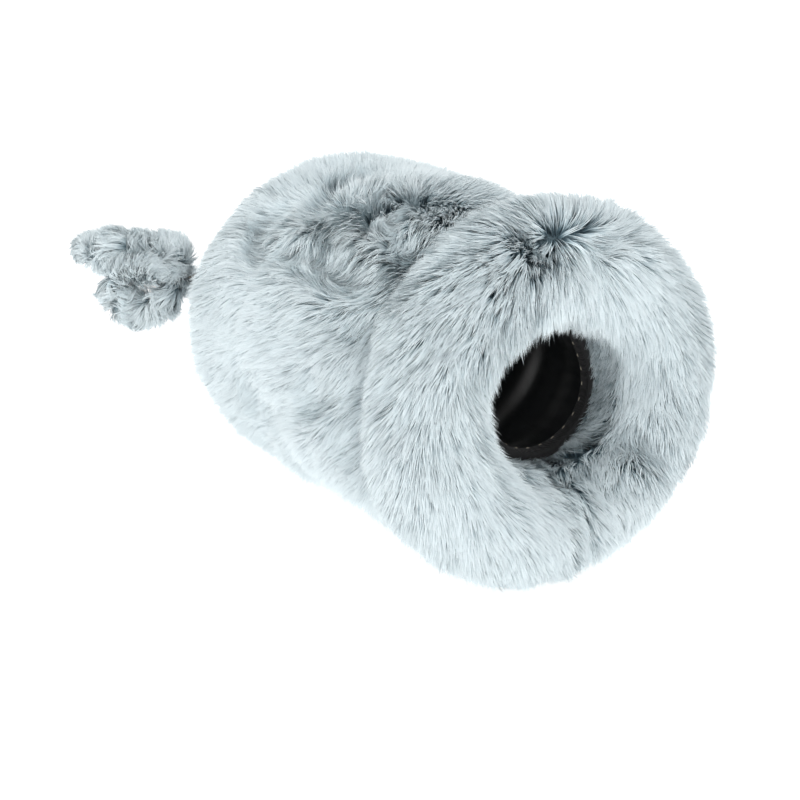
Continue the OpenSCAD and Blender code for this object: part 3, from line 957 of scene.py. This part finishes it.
def ring_stitches(y, z, squeezed):
    """Short stitches on the inner face of a binding, sunk a little at both ends."""
    middle = np.arange(STITCH_COUNT) * 2 * math.pi / STITCH_COUNT
    share = np.linspace(-1, 1, 7)
    angle = middle[:, None] + share * 0.0012 / BINDING_R
    sunk = 0.0004 * share ** 2
    r = BINDING_R - BINDING_HALF - 0.0002 + sunk - (squeeze(angle) if squeezed else 0)
    lines = np.stack([r * np.cos(angle), np.full(angle.shape, y), z + r * np.sin(angle)], -1)
    return tubes(lines, 0.0003, 8)


def whip_stitch(path, outward, pitch=0.0035, closed=False):
    """A thread that winds round a seam along the path."""
    step = np.linalg.norm(np.diff(path, axis=0), axis=1)
    s = np.concatenate([[0], np.cumsum(step)])
    turns = max(1, round(s[-1] / pitch))
    k = np.linspace(0, s[-1], turns * 8 + 1)
    p = np.stack([np.interp(k, s, path[:, axis]) for axis in range(3)], 1)
    up = unit(np.stack([np.interp(k, s, outward[:, axis]) for axis in range(3)], 1))
    side = unit(np.cross(np.gradient(p, axis=0), up))
    phase = k / s[-1] * turns * 2 * math.pi
    line = p + 0.0011 * np.cos(phase)[:, None] * side + 0.0005 * np.sin(phase)[:, None] * up
    if closed:
        line = line[:-1]
    return tubes(line[None], 0.0003, 6, closed)


def cuff_join_path():
    """Round the roll at the join, on the backing."""
    b = np.radians(np.linspace(-150, -10, 90))
    roll = CUFF_ROLL - PILE_RISE - 0.004
    r = CUFF_RING + roll * np.cos(b)
    return np.stack([r * math.cos(JOIN_ANGLE), roll * np.sin(b), CUFF_Z + r * math.sin(JOIN_ANGLE)], 1)


def cuff_body_path():
    """Round the muff, in the valley between the cuff and the body."""
    a = np.linspace(0, 2 * math.pi, 361)
    start = np.stack([0.093 * np.cos(a), np.full(len(a), 0.022), BODY_Z + 0.093 * np.sin(a)], 1)
    return start


def body_seam_path():
    """Along the body's underside."""
    y = np.linspace(0.045, BODY_END - 0.07, 120)
    return np.stack([np.zeros(len(y)), y, np.full(len(y), BODY_Z - BODY_R + PILE_RISE)], 1)


def seam_piece(name, path, height, material, closed=False):
    path = settle(path, height, 0.0002)
    if closed:
        path[-1] = path[0]
    outward = gradient(height, path)[0]
    return piece(name, whip_stitch(path, outward, closed=closed), material, MUFF, "seam_thread", name)


def bar_tacks():
    """Three zigzag bars across the tab's upper side."""
    top = TAB_TOP - TAB_ROOT[2] + 0.0002
    crossings = np.linspace(-0.006, 0.006, 21)
    lines = [[tab_point(bar + 0.0006 * (-1) ** k, across, top) for k, across in enumerate(crossings)]
             for bar in (0.0033, 0.0058, 0.0083)]
    return tubes(lines, 0.0003, 6)


def loop_grid(share, around=24, steps=8):
    """A closed tube along the carry loop, at a share of its thickness."""
    middle, radius = loop_line(steps)
    middle, radius = middle[:-1], radius[:-1]
    verts, faces = tubes(middle[None], share * radius, around, closed=True)
    faces = np.array(faces)
    outward = verts - np.repeat(middle, around, axis=0)
    return facing(verts, faces, outward)


# ------------------------------ the muff
make_camera()
make_studio()
pile = fur_material()
backing = grained_material("plush_backing", 0.9, 0.1, 900.0, (0.05, 0.085, 0.105), (0.20, 0.27, 0.30), 0.001)
wadding = grained_material("white_wadding", 0.95, 0.1, 260.0, (0.72, 0.72, 0.70), (0.93, 0.93, 0.91), 0.003,
                           0.3)
satin = satin_material()
tape = woven_material("black_tape", 0.7, 0.0005, (0.006, 0.006, 0.007), (0.035, 0.036, 0.038), sheen=0.1)
braid = woven_material("braided_elastic", 0.75, 0.0008, (0.02, 0.02, 0.022), (0.10, 0.10, 0.105))
webbing = woven_material("dark_webbing", 0.7, 0.0007, (0.015, 0.02, 0.024), (0.10, 0.13, 0.145), sheen=0.15)
stitch_thread = grained_material("beige_thread", 0.6, 0.4, 1800.0, (0.24, 0.21, 0.17), (0.44, 0.40, 0.33),
                                 0.0003)
seam_thread = grained_material("dark_thread", 0.65, 0.3, 1800.0, (0.05, 0.075, 0.09), (0.16, 0.20, 0.22),
                               0.0003)

cuff_skin = cuff_grid()
body_skin = body_grid()
piece("cuff_backing", cuff_skin, backing, MUFF, "plush_fur", "cuff_fur")
piece("cuff_filling", cuff_grid(-0.003, 120, 48), wadding, MUFF, "wadding", "cuff_stuffing")
piece("body_backing", body_skin, backing, MUFF, "plush_fur", "body_fur")
body_filling = piece("body_filling", body_grid(-0.003, 120, 0.024, True), wadding, MUFF, "wadding",
                     "body_wadding")

front_y, rear_y = (front_lo.y + front_hi.y) / 2, (rear_lo.y + rear_hi.y) / 2
front_tape = piece("front_tape", band_grid(front_y, CUFF_Z, BINDING_HALF, BINDING_WIDTH / 2, True, 0.0001),
                   tape, MUFF, "binding", "front_binding")
rear_tape = piece("rear_tape", band_grid(rear_y, BODY_Z, BINDING_HALF, BINDING_WIDTH / 2, False, 0.0001),
                  tape, MUFF, "binding", "rear_binding")
piece("front_elastic_band", band_grid(front_y, CUFF_Z, 0.001, 0.003, True), braid, MUFF, "elastic",
      "front_elastic")
piece("rear_elastic_band", band_grid(rear_y, BODY_Z, 0.001, 0.003, False), braid, MUFF, "elastic",
      "rear_elastic")
piece("front_thread", ring_stitches(front_hi.y - 0.003, CUFF_Z, True), stitch_thread, MUFF, "stitch_thread",
      "front_stitches")
piece("rear_thread", ring_stitches(rear_lo.y + 0.003, BODY_Z, False), stitch_thread, MUFF, "stitch_thread",
      "rear_stitches")
satin_tube = piece("satin_lining", lining_grid(), satin, MUFF, "satin", "lining")

seam_piece("cuff_join_seam", cuff_join_path(), cuff_height, seam_thread)
seam_piece("cuff_body_seam", cuff_body_path(), muff_height, seam_thread, closed=True)
seam_piece("body_seam", body_seam_path(), body_height, seam_thread)

tab = frame["nodes"]["loop_tab"]
tab.data.materials.clear()
tab.data.materials.append(webbing)
piece("tab_bar_tacks", bar_tacks(), stitch_thread, MUFF, "stitch_thread", "loop_tab_stitches")
loop_skin = loop_grid(LOOP_CORE)
piece("loop_backing", loop_skin, backing, LOOP, "plush_fur", "loop_fur")
loop_filling = piece("loop_filling", loop_grid(0.8 * LOOP_CORE, 16, 4), wadding, LOOP, "wadding",
                     "loop_stuffing")

CUFF_TUFTS, BODY_TUFTS, LOOP_TUFTS = 38000, 55000, 7500
grow_pile("cuff_pile", cuff_skin, muff_height, cuff_lie, CUFF_TUFTS, 5, SEED, pile, MUFF, PILE_LENGTH,
          cuff_shortened_and_shaded)
grow_pile("body_pile", body_skin, muff_height, body_lie, BODY_TUFTS, 7, SEED + 100, pile, MUFF, PILE_LENGTH,
          body_shortened_and_shaded)
grow_pile("loop_pile", loop_skin, loop_height, loop_lie, LOOP_TUFTS, 1, SEED + 200, pile, LOOP, LOOP_LENGTH,
          loop_pressed, 0.0013, 0.22)
